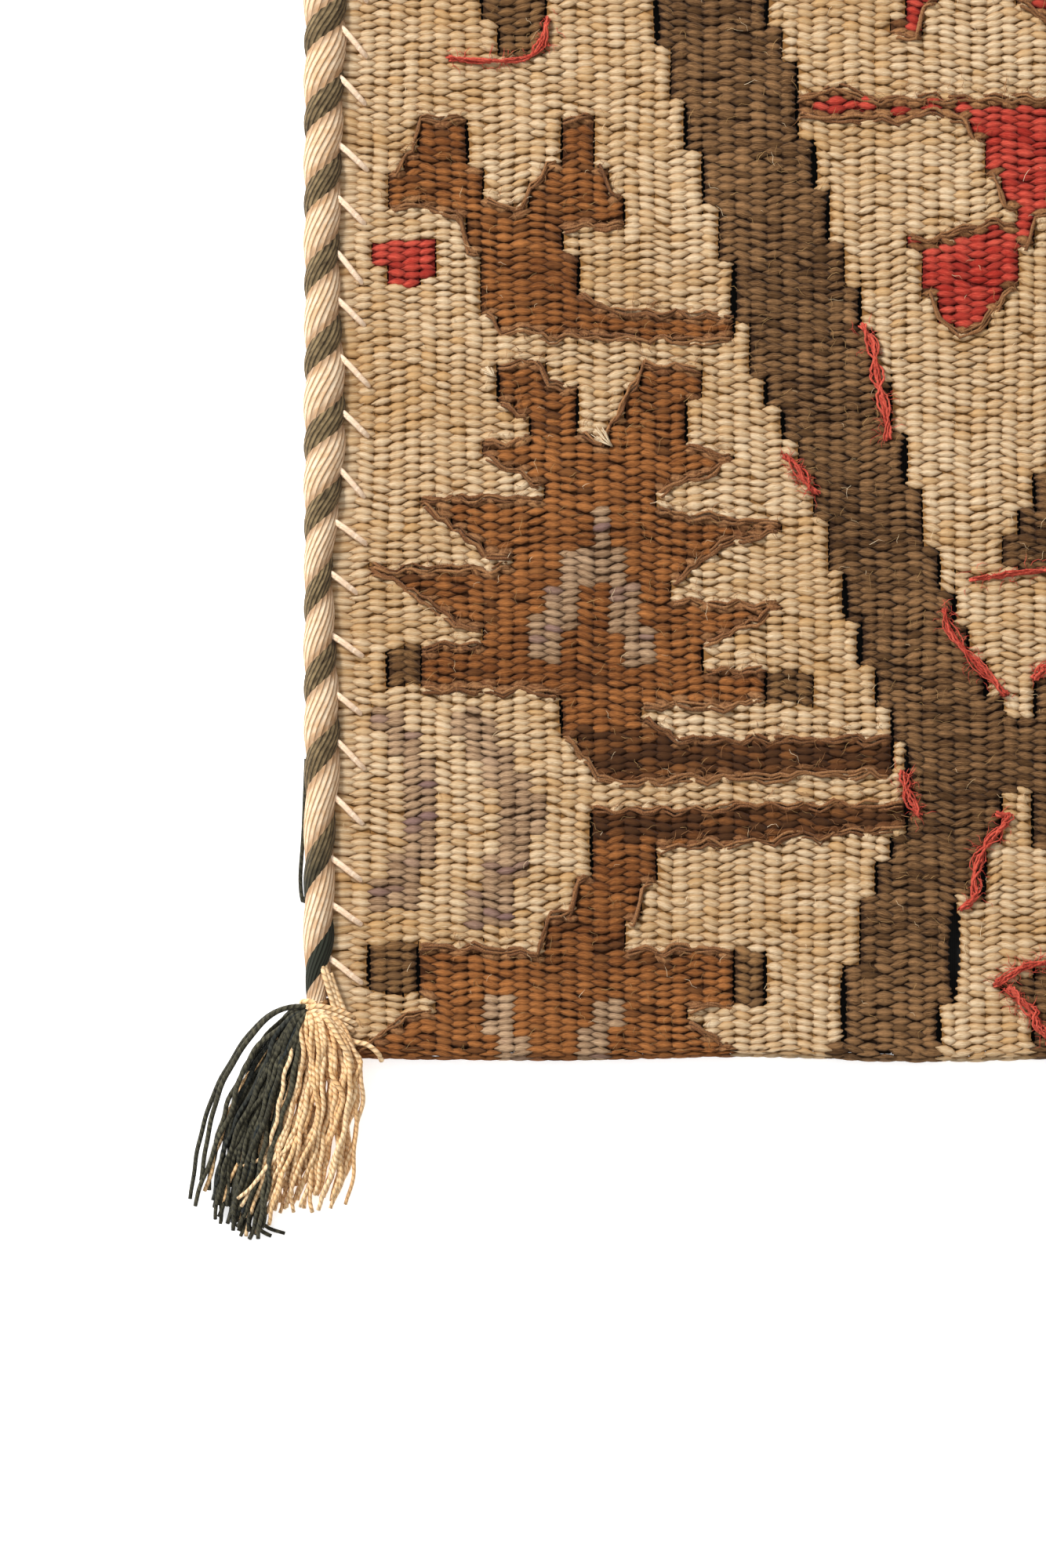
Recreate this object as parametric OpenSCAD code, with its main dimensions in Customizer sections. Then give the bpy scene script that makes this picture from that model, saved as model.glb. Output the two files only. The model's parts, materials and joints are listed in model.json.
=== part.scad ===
// Lined flat-woven table runner with a twisted cord down each long side and a tassel at each corner.
// The frame has X across the runner, Y along it and Z up. The origin is the centre of the
// underside of the lining, so the runner lies face up on the plane z = 0.
// The design is drawn once, for one quarter block of the cloth, in ribs and rows of the weave,
// and is turned over and over to fill the cloth: twice across and four times along.

/* [Weave] */
// Distance between neighbouring warp ribs
rib_pitch = 3; // [2.6:0.1:3.4]
// Distance between neighbouring weft rows
row_pitch = 1.5; // [1.3:0.05:1.7]
// Thickness of the woven face
face_t = 2.9; // [2.2:0.1:3.2]
// Width of a raised contour yarn
contour_w = 1.4; // [1:0.1:2]
// Height of a contour yarn above the woven face
contour_t = 0.4; // [0.2:0.1:0.6]

/* [Lining] */
// Thickness of the lining cloth
lining_t = 0.6; // [0.4:0.1:1]
// How far the lining is turned in from the woven edge
lining_inset = 0.6; // [0.3:0.1:2]

/* [Cords] */
// Diameter of the twisted side cord
cord_d = 6.8; // [5.5:0.1:7.2]
// Distance along the cord between two whip stitches
stitch_pitch = 10.5; // [8:0.5:14]
// Diameter of the sewing thread of a whip stitch
stitch_d = 0.7; // [0.5:0.1:0.9]
// Reach of a whip stitch over the woven face
stitch_reach = 5.3; // [4:0.1:7]
// Slant of a whip stitch along the cord
stitch_slant = 3.3; // [2:0.1:5]

/* [Tassels] */
// Diameter of the knot at the end of a cord
knot_d = 6.4; // [6:0.1:6.4]
// Height of the knot
knot_h = 6.6; // [5.5:0.1:6.8]
// Thickness of the skirt of a tassel
skirt_t = 6; // [4:0.1:6.4]
// Distance from the end of the cloth back to the knot
knot_inset = 9.3; // [9:0.1:12]

/* [Folds] */
// Rows of the weave from each end to the fold line
fold_rows = 134; // [120:1:140]
// Gap between two panels at a fold line
fold_gap = 0.3; // [0.3:0.1:0.6]
// Free play between a knot and its tassel
play = 0.3; // [0.3:0.05:0.5]

/* [Hidden] */
$fn = 48;

// Ribs in half the width, and rows in one block of the design
half_ribs = 50;
block_rows = 150;
blocks = 4;
half_w = half_ribs * rib_pitch;
half_l = blocks * block_rows * row_pitch / 2;
fold_y = half_l - fold_rows * row_pitch;
face_top = lining_t + face_t;
edge_r = face_t / 2;
cord_x = half_w + cord_d / 2 + 0.1;
knot_x = cord_x + 1.9;
knot_y = half_l - knot_inset;
cord_end_y = knot_y - knot_d / 2 - 0.1;

// ---- The design, one quarter block, in [ribs from the side edge, rows from the end] ----

upper_tree = [
  [5.1, 120], [7.75, 120], [7.75, 116], [8.6, 114], [8.8, 111], [9.6, 109.2], [11.1, 108.4],
  [12.05, 108.4], [12.25, 109.6], [12.9, 113.9], [13.55, 114.5], [13.55, 120], [15.8, 120],
  [15.8, 114.5], [17.1, 113.9], [17.2, 110], [18.2, 109.6], [18.2, 106.4], [13.9, 105.6],
  [13.95, 102.6], [14.8, 102.2], [14.95, 98.9], [15.8, 97], [16.95, 95.2], [25.1, 94.9],
  [25.2, 91.4], [10.7, 91.8], [9.45, 94.3], [9.3, 99.2], [8.5, 103.2], [7.6, 105.6],
  [7.6, 107.5], [5.95, 108.2], [3.2, 108.4], [2.8, 111], [2.8, 112.4], [3.95, 113],
  [3.95, 115.7], [5.1, 116]
];
comb_tree = [
  [10.35, 88.2], [13.35, 88.2], [13.35, 84.9], [14.7, 84.7], [14.7, 81], [16.2, 77.8],
  [17.25, 77.8], [17.5, 80.9], [18.3, 81.2], [18.3, 84.9], [19.4, 85.2], [19.4, 88.1],
  [22.55, 88.1], [22.55, 83.5], [21.8, 83.1], [21.8, 77.8], [25.2, 76.2], [19.45, 71],
  [20.7, 69.2], [28.35, 68.4], [24.6, 65.4], [20.45, 59.5], [20.7, 58.5], [28.6, 57.8],
  [24.6, 54.3], [22.8, 52.3], [22.8, 49.7], [29.7, 49.7], [29.7, 45.4], [18.45, 45],
  [21.2, 40.3], [35.25, 40.8], [35.45, 36.2], [16.7, 35], [16.35, 36.3], [14.05, 42],
  [14.05, 46.6], [3, 47.5], [3, 52.4], [10.35, 52.8], [8.5, 54.3], [5.75, 57.9],
  [2.25, 62.4], [11.2, 62.5], [7.6, 67.1], [4.7, 71], [12.65, 71], [12.8, 72.5],
  [8.3, 77.8], [12.1, 77.8], [12.1, 80.6], [11.35, 80.9], [11.35, 83], [10.35, 83.2]
];
lower_tree = [
  [16.2, 31.4], [35.6, 32.2], [35.6, 29], [32.45, 28.3], [20.35, 26.7], [20.3, 22.5],
  [19.25, 22.2], [19.25, 17.9], [18.1, 17.6], [18.1, 14], [27.25, 13.9], [27.25, 7.2],
  [21.35, 6.5], [25.25, 0.5], [25.25, 0], [0.85, 0], [1.95, 2], [2.85, 3.5], [5.15, 6],
  [6.9, 8], [2.4, 8.7], [2.4, 14.9], [4.55, 14.6], [13.4, 14], [13.4, 18.2], [14.8, 18.5],
  [14.8, 23.4], [15.95, 23.7], [15.95, 30.5]
];
side_band = [
  [17.2, 150], [19.6, 135], [23.2, 111], [26.5, 87], [29.85, 73], [30.8, 67], [31.95, 59.5],
  [32.85, 52.7], [33.95, 48.2], [34.85, 43], [35.6, 39.3], [35.7, 29], [34.1, 24], [33.1, 17],
  [32.3, 10], [31.2, 0], [37.8, 0], [38, 6.5], [38.5, 6.7], [38.5, 12.6], [39.2, 13.8],
  [39.2, 19.8], [40.55, 19.8], [40.55, 27], [41.7, 27], [41.7, 34], [44.2, 34], [44.2, 26.7],
  [50, 26.7], [50, 48.4], [44.1, 48.4], [44.1, 43.5], [42.15, 43.5], [41, 48.4],
  [39.5, 55], [38.45, 59.5], [37.55, 64.5], [36.05, 76], [34.7, 86], [32.8, 97],
  [31.7, 102.5], [30.75, 108.8], [29.9, 114], [28.95, 121], [28.35, 129], [26.8, 133], [24.3, 150]
];
heart_step = [
  [41.9, 62.8], [42, 66.3], [43.1, 66.3], [43.1, 70.5], [44, 70.5], [44, 74.6], [45.4, 74.8],
  [45.4, 79.2], [47.2, 79.4], [47.2, 84], [50, 84], [50, 61.4], [43.5, 61.8]
];
foot_wedge = [
  [42.3, 9.4], [45, 12.2], [50, 16.8], [50, 0], [44, 0], [44, 6.8], [42.6, 7.2]
];
red_hook = [
  [29.45, 122.5], [31.3, 123], [32, 122.3], [50, 121.6], [50, 106.5], [45.5, 106.8],
  [44, 106.2], [43.9, 102.9], [42.9, 102.8], [42.9, 98.3], [41.7, 98], [41.6, 95.3],
  [40.5, 92.4], [38.7, 92.7], [37.2, 99], [36.2, 104.2], [42.9, 106.2], [42.15, 109.1],
  [41.3, 113.7], [40.2, 117.6], [39.4, 119.2], [38.2, 119.9], [32, 119.5], [29.45, 120]
];
red_fin = [
  [34.7, 129.5], [36.9, 130.2], [37.7, 135], [39, 142], [39.2, 150], [36.6, 150], [36, 141],
  [35.5, 132.7], [34.8, 132.6]
];
red_crown = [[43.4, 134.2], [45.9, 130.4], [50, 128.6], [50, 150], [41, 150], [42, 141]];
red_chip = [[2, 104.1], [6.05, 104.1], [6.05, 100.5], [4.95, 97.8], [3.95, 97.8], [2, 101.5]];
top_block = [[8.6, 150], [13.1, 150], [13.1, 132], [12.95, 127.7], [9.6, 127.7], [9.6, 132], [8.6, 132]];
left_chevron = [
  [2, 44.4], [3.95, 44.4], [6.4, 34], [6.4, 30], [4.7, 19], [1.5, 19], [4.4, 30], [4.4, 34]
];
right_chevron = [
  [6.7, 44.4], [9, 44.4], [12.6, 33], [12.65, 30], [10.5, 17], [7.4, 17], [10.2, 30], [9.9, 33]
];

// An upright rectangle of the design between two ribs and two rows
function patch(u0, u1, v0, v1) = [[u0, v0], [u1, v0], [u1, v1], [u0, v1]];

rust_shapes = [upper_tree, comb_tree, lower_tree];
brown_shapes = [side_band, heart_step, foot_wedge];
dark_shapes = [
  patch(3, 4.85, 47.5, 52.4), patch(27.4, 29.7, 45.4, 49.7), patch(2.4, 4.55, 8.7, 14.9),
  patch(25.35, 27.25, 7, 13.9), top_block
];
lilac_shapes = [
  patch(15.55, 17.4, 65, 69.3), patch(14.35, 18.4, 60.4, 65), patch(13.1, 15.05, 54.3, 60.4),
  patch(11.6, 13.8, 50.4, 56.4), patch(17.1, 19.25, 54.3, 60.4), patch(18.4, 20.3, 50.1, 55.5),
  patch(9.3, 11.45, 3.5, 8.3), patch(10.3, 12.35, 0, 3.5), patch(15.85, 17.8, 4, 7.8),
  patch(14.65, 16.65, 0, 4), left_chevron, right_chevron
];
red_shapes = [red_hook, red_fin, red_crown, red_chip];

// ---- Where the design lies on the cloth ----

function across(u, side) = side == 0 ? u * rib_pitch - half_w : half_w - u * rib_pitch;
function rows_up(v, block) = block % 2 == 0 ? block * block_rows + v : (block + 1) * block_rows - v;
function along(v, block) = rows_up(v, block) * row_pitch - half_l;
function spot(p, side, block) = [across(p[0], side), along(p[1], block)];

// An edge counts as crossing the warp when it leans away from the ribs
function crosses(a, b) = abs(b[0] - a[0]) * rib_pitch > 0.45 * abs(b[1] - a[1]) * row_pitch;

module everywhere(shapes) {
  for (shape = shapes)
    for (side = [0, 1])
      for (block = [0 : blocks - 1])
        polygon([for (p = shape) spot(p, side, block)]);
}

// A strip of the contour yarn's width along every edge that crosses the warp
module contour_strips(shapes) {
  for (shape = shapes)
    for (i = [0 : len(shape) - 1]) {
      a = shape[i];
      b = shape[(i + 1) % len(shape)];
      // An edge on the border of a quarter block has no contour
      on_border = a[1] == b[1] && (a[1] == 0 || a[1] == block_rows);
      if (crosses(a, b) && !on_border)
        for (side = [0, 1])
          for (block = [0 : blocks - 1])
            strip(spot(a, side, block), spot(b, side, block));
    }
}
module strip(a, b) {
  length = norm(b - a);
  normal = [a[1] - b[1], b[0] - a[0]] * contour_w / 2 / length;
  polygon([a - normal, b - normal, b + normal, a + normal]);
}

// The part of the cloth that belongs to one panel
module panel_area(panel) {
  inner = fold_y - fold_gap / 2;
  outer = fold_y + fold_gap / 2;
  end = half_l - edge_r;
  if (panel == "middle")
    translate([-half_w, -inner])
      square([2 * half_w, 2 * inner]);
  if (panel == "front")
    translate([-half_w, -end])
      square([2 * half_w, end - outer]);
  if (panel == "back")
    translate([-half_w, outer])
      square([2 * half_w, end - outer]);
}

module rust_area() {
  difference() {
    everywhere(rust_shapes);
    everywhere(lilac_shapes);
    everywhere(dark_shapes);
    everywhere(brown_shapes);
  }
}
module red_area() {
  difference() {
    everywhere(red_shapes);
    everywhere(brown_shapes);
  }
}
module cream_area() {
  difference() {
    translate([-half_w, -half_l])
      square([2 * half_w, 2 * half_l]);
    everywhere(rust_shapes);
    everywhere(brown_shapes);
    everywhere(dark_shapes);
    everywhere(lilac_shapes);
    everywhere(red_shapes);
  }
}

// One colour of weft in one panel, as thick as the woven face
module weft(panel) {
  translate([0, 0, lining_t])
    linear_extrude(face_t)
      intersection() {
        panel_area(panel);
        children();
      }
}

// ---- Pieces, each for a named panel or corner ----

module lining(panel) {
  color("#15130f")
    linear_extrude(lining_t)
      intersection() {
        panel_area(panel);
        translate([-half_w + lining_inset, -half_l])
          square([2 * (half_w - lining_inset), 2 * half_l]);
      }
}
module cream_weft(panel) {
  color("#cdb488") weft(panel) cream_area();
}
module brown_weft(panel) {
  color("#5e4830") weft(panel) everywhere(brown_shapes);
}
module rust_weft(panel) {
  color("#8a4e22") weft(panel) rust_area();
}
module dark_weft(panel) {
  color("#6a4a30") weft(panel) everywhere(dark_shapes);
}
module lilac_weft(panel) {
  color("#a39384") weft(panel) everywhere(lilac_shapes);
}
module red_weft(panel) {
  color("#b5332c") weft(panel) red_area();
}
module contour_yarns(panel) {
  color("#6b5232")
    translate([0, 0, face_top])
      linear_extrude(contour_t)
        intersection() {
          panel_area(panel);
          contour_strips(concat(rust_shapes, [red_hook, red_fin, red_crown]));
        }
}
// The last rows of the weave, rolled over the end of the cloth
module turned_edge(end) {
  color("#c2a87c")
    translate([-half_w, end * (half_l - edge_r), lining_t + edge_r])
      rotate([0, 90, 0])
        linear_extrude(2 * half_w)
          intersection() {
            circle(r = edge_r);
            translate([-edge_r, end < 0 ? -edge_r : 0])
              square([2 * edge_r, edge_r]);
          }
}
module cord(side, y0, y1) {
  color("#d8b890")
    translate([side * cord_x, y0, cord_d / 2])
      rotate([-90, 0, 0])
        cylinder(h = y1 - y0, d = cord_d);
}
// Whip stitches that slant from the cord down onto the woven face
module stitches(side, y0, y1) {
  count = floor((y1 - y0 - stitch_slant) / stitch_pitch);
  span = sqrt(stitch_reach * stitch_reach + stitch_slant * stitch_slant);
  turn = atan2(-stitch_slant, side < 0 ? stitch_reach : -stitch_reach);
  color("#f3dfc6")
    for (i = [0 : count])
      translate([side * (half_w - stitch_d / 4), y0 + stitch_slant + 2 + i * stitch_pitch,
                 face_top + contour_t + stitch_d / 2])
        rotate([0, 0, turn])
          rotate([0, 90, 0])
            cylinder(h = span, d = stitch_d, $fn = 16);
}
module knot(side, end) {
  color("#e3c29c")
    translate([side * knot_x, end * knot_y, 0])
      cylinder(h = knot_h, d = knot_d);
}

// The two halves of a tassel, seen from above with its knot at [0, 0] and the cloth to the right
seam = [[-1, -1.8], [-2.2, -6.3], [-4.2, -16.8], [-6, -28.8], [-7.2, -37.8]];
dark_half = concat(
  [[-4.4, -0.4], [-8.2, -1.2], [-12.4, -4.2], [-16.5, -10], [-19.6, -17], [-21.9, -25.8],
   [-23.4, -36.2], [-20.7, -41], [-15.2, -42.3], [-8.2, -43.4]],
  [for (i = [len(seam) - 1 : -1 : 0]) seam[i]]
);
cream_half = concat(
  seam,
  [[-2.4, -39.9], [0, -38.5], [2.7, -36.4], [4.5, -34], [5.9, -30.6], [7.1, -24.3],
   [8, -17], [8.2, -13], [4.3, -9.7], [4.1, -5], [3, -1.8]]
);
module skirt(side, end, outline) {
  translate([side * knot_x, end * knot_y, 0])
    linear_extrude(skirt_t)
      difference() {
        polygon([for (p = outline) [-side * p[0], -end * p[1]]]);
        circle(d = knot_d + 2 * play);
      }
}
module cream_skirt(side, end) {
  color("#e0b886") skirt(side, end, cream_half);
}
module dark_skirt(side, end) {
  color("#33332b") skirt(side, end, dark_half);
}

// ---- The middle panel, which lies on the table ----

mid = fold_y - fold_gap / 2;
far = fold_y + fold_gap / 2;
lining("middle");  // middle_lining
cream_weft("middle");  // middle_cream_weft
brown_weft("middle");  // middle_brown_weft
rust_weft("middle");  // middle_rust_weft
dark_weft("middle");  // middle_dark_weft
lilac_weft("middle");  // middle_lilac_weft
red_weft("middle");  // middle_red_weft
contour_yarns("middle");  // middle_contour_yarns
cord(-1, -mid, mid);  // middle_left_cord
cord(1, -mid, mid);  // middle_right_cord
stitches(-1, -mid, mid);  // middle_left_stitches
stitches(1, -mid, mid);  // middle_right_stitches

// ---- The front drop and its two tassels ----

lining("front");  // front_lining
cream_weft("front");  // front_cream_weft
brown_weft("front");  // front_brown_weft
rust_weft("front");  // front_rust_weft
dark_weft("front");  // front_dark_weft
lilac_weft("front");  // front_lilac_weft
red_weft("front");  // front_red_weft
contour_yarns("front");  // front_contour_yarns
cord(-1, -cord_end_y, -far);  // front_left_cord
cord(1, -cord_end_y, -far);  // front_right_cord
stitches(-1, -cord_end_y, -far);  // front_left_stitches
stitches(1, -cord_end_y, -far);  // front_right_stitches
turned_edge(-1);  // front_turned_edge
knot(-1, -1);  // front_left_knot
knot(1, -1);  // front_right_knot
cream_skirt(-1, -1);  // front_left_cream_skirt
dark_skirt(-1, -1);  // front_left_dark_skirt
cream_skirt(1, -1);  // front_right_cream_skirt
dark_skirt(1, -1);  // front_right_dark_skirt

// ---- The back drop and its two tassels ----

lining("back");  // back_lining
cream_weft("back");  // back_cream_weft
brown_weft("back");  // back_brown_weft
rust_weft("back");  // back_rust_weft
dark_weft("back");  // back_dark_weft
lilac_weft("back");  // back_lilac_weft
red_weft("back");  // back_red_weft
contour_yarns("back");  // back_contour_yarns
cord(-1, far, cord_end_y);  // back_left_cord
cord(1, far, cord_end_y);  // back_right_cord
stitches(-1, far, cord_end_y);  // back_left_stitches
stitches(1, far, cord_end_y);  // back_right_stitches
turned_edge(1);  // back_turned_edge
knot(-1, 1);  // back_left_knot
knot(1, 1);  // back_right_knot
cream_skirt(-1, 1);  // back_left_cream_skirt
dark_skirt(-1, 1);  // back_left_dark_skirt
cream_skirt(1, 1);  // back_right_cream_skirt
dark_skirt(1, 1);  // back_right_dark_skirt
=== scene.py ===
import json
import math

import bpy
import numpy as np
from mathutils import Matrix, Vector
from mathutils.bvhtree import BVHTree


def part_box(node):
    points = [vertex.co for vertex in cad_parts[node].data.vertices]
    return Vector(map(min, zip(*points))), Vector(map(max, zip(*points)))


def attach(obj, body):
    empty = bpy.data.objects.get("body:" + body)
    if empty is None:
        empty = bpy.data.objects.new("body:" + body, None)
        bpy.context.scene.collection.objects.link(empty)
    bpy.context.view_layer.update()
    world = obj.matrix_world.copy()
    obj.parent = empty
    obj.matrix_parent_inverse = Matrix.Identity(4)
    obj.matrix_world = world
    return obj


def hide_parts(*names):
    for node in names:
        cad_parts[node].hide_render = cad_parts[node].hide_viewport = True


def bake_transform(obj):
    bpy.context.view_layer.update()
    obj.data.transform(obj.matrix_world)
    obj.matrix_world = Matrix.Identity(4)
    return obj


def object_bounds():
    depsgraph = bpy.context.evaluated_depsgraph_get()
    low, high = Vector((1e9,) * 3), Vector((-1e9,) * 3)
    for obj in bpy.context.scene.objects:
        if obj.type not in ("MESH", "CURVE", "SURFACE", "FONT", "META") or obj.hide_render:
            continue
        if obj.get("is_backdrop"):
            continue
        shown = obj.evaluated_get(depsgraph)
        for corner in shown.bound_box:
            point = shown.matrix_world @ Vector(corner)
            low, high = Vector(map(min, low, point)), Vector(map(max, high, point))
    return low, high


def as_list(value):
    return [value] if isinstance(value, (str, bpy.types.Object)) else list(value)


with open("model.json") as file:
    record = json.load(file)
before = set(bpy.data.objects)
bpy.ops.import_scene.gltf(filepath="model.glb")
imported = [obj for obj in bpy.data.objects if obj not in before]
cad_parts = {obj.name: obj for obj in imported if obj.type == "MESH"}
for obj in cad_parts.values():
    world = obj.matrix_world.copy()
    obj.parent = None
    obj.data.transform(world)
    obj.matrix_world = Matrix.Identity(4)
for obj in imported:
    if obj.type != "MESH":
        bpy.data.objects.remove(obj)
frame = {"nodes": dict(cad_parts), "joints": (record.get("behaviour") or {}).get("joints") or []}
cad_low, cad_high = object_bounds()
bpy.ops.object.select_all(action="DESELECT")
scene = bpy.context.scene

MM = 0.001

# --------------------------------------------
# Studio. A white table top under an even white sky, with one broad soft lamp beyond the runner's
# far left corner. The camera looks straight down on the front left corner of the cloth.

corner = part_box("front_turned_edge")[0]
view_height = 0.300
view_centre = Vector((corner.x + 0.0347, corner.y + 0.0525, 0))
camera_height = 1.0
sensor = 36.0

camera_data = bpy.data.cameras.new("camera")
camera_data.sensor_width = sensor
camera_data.lens = sensor * camera_height / view_height
camera_data.clip_start = 0.05
camera_data.clip_end = 50
camera = bpy.data.objects.new("camera", camera_data)
camera.location = (view_centre.x, view_centre.y, camera_height)
scene.collection.objects.link(camera)
scene.camera = camera
scene.view_settings.view_transform = "Standard"


def set_inputs(node, values):
    """Gives a node's sockets their values."""
    for socket, value in values.items():
        node.inputs[socket].default_value = value


def area_lamp(name, place, target, size, watts):
    data = bpy.data.lights.new(name, "AREA")
    data.shape = "DISK"
    data.size = size
    data.energy = watts
    lamp = bpy.data.objects.new(name, data)
    lamp.location = place
    lamp.rotation_euler = (Vector(target) - Vector(place)).to_track_quat("-Z", "Y").to_euler()
    scene.collection.objects.link(lamp)


area_lamp("window_lamp", (-1.5, 1.1, 1.5), (0, 0, 0), 0.7, 78)

world = bpy.data.worlds.new("white_sky")
world.use_nodes = True
set_inputs(world.node_tree.nodes["Background"], {"Color": (1, 1, 1, 1), "Strength": 0.62})
scene.world = world

bpy.ops.mesh.primitive_plane_add(size=8, location=(0, 0, -0.0002))
table_top = bpy.context.object
table_top.name = "table_top"
white = bpy.data.materials.new("white_table")
white.use_nodes = True
set_inputs(
    white.node_tree.nodes["Principled BSDF"],
    {
        "Base Color": (0.9, 0.9, 0.9, 1),
        "Roughness": 0.9,
        "Emission Color": (1, 1, 1, 1),
        "Emission Strength": 0.6,
    },
)
table_top.data.materials.append(white)
table_top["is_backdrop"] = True
bpy.ops.object.select_all(action="DESELECT")

# --------------------------------------------
# Woven face. Hand-spun wool weft is beaten down over stretched warps until it hides them, so the
# face is a field of ribs, each a column of grains of yarn. Where two colours meet along a rib
# they turn back on themselves and leave a slit, through which the black lining shows.

RIBS = 100
ROWS = 600
half_w = -corner.x / MM
half_l = -corner.y / MM
rib = 2 * half_w / RIBS
row = 2 * half_l / ROWS
face_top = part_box("middle_cream_weft")[1].z / MM
face_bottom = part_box("middle_cream_weft")[0].z / MM
edge_r = (face_top - face_bottom) / 2
fold_y = -frame["joints"][0]["pos_m"][1] / MM
bend = 10.0

COLOURS = ["cream", "brown", "rust", "dark", "lilac", "red"]
PANELS = ["front", "middle", "back"]
SIDES = ((-1, "left"), (1, "right"))
rng = np.random.default_rng(7)


def ripple(x, y, length, seed):
    """A smooth random height between about -1 and 1, with waves about length long."""
    pick = np.random.default_rng(seed)
    total = 0
    for _ in range(6):
        angle = pick.uniform(0, 2 * math.pi)
        k = 2 * math.pi / (length * pick.uniform(0.7, 1.6))
        total = total + np.sin(k * (x * math.cos(angle) + y * math.sin(angle)) + pick.uniform(0, 6.3))
    return total / 2.6


# How far the left edge strays from straight near the front, as (distance from the end, offset)
LEFT_EDGE = [
    (0, -1.3), (15, -1.6), (37, -1.5), (48, -1.2), (58, -0.2), (75, -0.9),
    (84, -1.5), (92, -1.9), (98, -1.6), (107, -0.2), (120, 0.8), (135, 0.4),
    (144, -0.5), (158, -0.4), (182, 0.2), (198, 0.9), (225, 0.3),
]


def sway(side, y):
    """How far a long edge of the cloth strays outwards (to +X) at the places y; side is -1 or 1."""
    y = np.asarray(y, float)
    s = y + half_l
    if side > 0:
        return 0.7 * np.sin((s - 40) / 190 * 2 * math.pi) + 0.8 * np.sin((s - 15) / 71 * 2 * math.pi)
    near = sum(np.interp(s + d, *zip(*LEFT_EDGE)) for d in (-4, -2, 0, 2, 4)) / 5
    far = 0.5 * np.sin(s / 170 * 2 * math.pi) + 0.8 * np.sin(s / 62 * 2 * math.pi) - 0.2
    t = np.clip((s - 205) / 20, 0, 1)
    return near * (1 - t) + far * t


def lay(points):
    """Moves points of the straight cloth, in millimetres, to where they lie in metres.

    The edges waver, the rows wave a little and the ends roll over."""
    x, y, z = points[..., 0], points[..., 1], points[..., 2]
    inside = np.clip((half_w - np.abs(x)) / 12, 0, 1) * np.clip((half_l - np.abs(y)) / 12 + 0.3, 0, 1)
    near_left = np.clip(1 - (half_w + x) / 13, 0, 1.2) ** 1.5
    near_right = np.clip(1 - (half_w - x) / 13, 0, 1.2) ** 1.5
    new_x = x + sway(-1, y) * near_left + sway(1, y) * near_right + 0.22 * ripple(x, y, 26, 1) * inside
    new_y = y + 0.5 * ripple(x, y, 90, 2) * inside
    new_z = z.copy()
    # The last rows roll round the turned-in end
    limit = half_l - edge_r
    middle = face_bottom + edge_r
    for end in (-1, 1):
        past = end * y - limit
        over = past > 0
        angle = np.minimum(past / edge_r, math.pi * 0.95)
        radius = z - middle
        wave = 0.35 * ripple(x, 0 * x, 70, 3)
        new_y = np.where(over, end * (limit + radius * np.sin(angle) + wave), new_y)
        new_z = np.where(over, middle + radius * np.cos(angle), new_z)
    return np.stack([new_x, new_y, new_z], -1) * MM


# What colour the drawing has at each grain: look straight down on the flat slabs of weft
corners_found, faces_found, colour_of_face = [], [], []
for panel in PANELS:
    for index, colour in enumerate(COLOURS):
        mesh = frame["nodes"][f"{panel}_{colour}_weft"].data
        mesh.calc_loop_triangles()
        start = len(corners_found)
        corners_found.extend([v.co.copy() for v in mesh.vertices])
        for triangle in mesh.loop_triangles:
            faces_found.append([start + v for v in triangle.vertices])
            colour_of_face.append(index)
drawing = BVHTree.FromPolygons(corners_found, faces_found)


def colour_at(x, y):
    y = max(-half_l + edge_r + 0.1, min(half_l - edge_r - 0.1, y))
    for nudge in (0, 0.4, -0.4):
        hit = drawing.ray_cast(Vector((x * MM, (y + nudge) * MM, 0.05)), Vector((0, 0, -1)))
        if hit[2] is not None:
            return colour_of_face[hit[2]]
    return 0


extra = 2
row_number = np.arange(-extra, ROWS + extra)
stagger = np.where(np.arange(RIBS) % 2 == 0, -0.25, 0.25)
rib_x = -half_w + (np.arange(RIBS) + 0.5) * rib
grain_y = -half_l + (row_number[None, :] + 0.5 + stagger[:, None]) * row
colour = np.zeros(grain_y.shape, int)
for i in range(RIBS):
    for j in range(grain_y.shape[1]):
        colour[i, j] = colour_at(rib_x[i], grain_y[i, j])

# How far each grain draws back from the rib on its right and on its left, where a slit opens.
# Slits beside a brown area pull wider, and the lilac stripes have none
SLIT_SHARES = [0.25, 0.6, 1.0, 1.6]
BROWN_PULL, OTHER_PULL = 1.5, 0.8
CLOSED_END = 3
back_right = np.zeros(colour.shape)
back_left = np.zeros(colour.shape)
for i in range(RIBS - 1):
    differs = colour[i] != colour[i + 1]
    j = 0
    while j < len(differs):
        if not differs[j]:
            j += 1
            continue
        run = 1
        while j + run < len(differs) and differs[j + run]:
            run += 1
        pair = {COLOURS[colour[i, j + run // 2]], COLOURS[colour[i + 1, j + run // 2]]}
        if "lilac" in pair:
            j += run
            continue
        pull = BROWN_PULL if "brown" in pair else OTHER_PULL
        width = min(1.0, 0.1 + 0.06 * run) * rng.choice(SLIT_SHARES) * pull
        bulge = 0.06 + width * np.sin(math.pi * (np.arange(run) + 0.5) / run)
        share = rng.uniform(0.3, 0.7)
        back_right[i, j : j + run] = bulge * share
        back_left[i + 1, j : j + run] = bulge * (1 - share)
        j += run

back_left[np.abs(grain_y) > half_l - CLOSED_END] = 0
back_right[np.abs(grain_y) > half_l - CLOSED_END] = 0

grain_colour = colour.copy()
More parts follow.
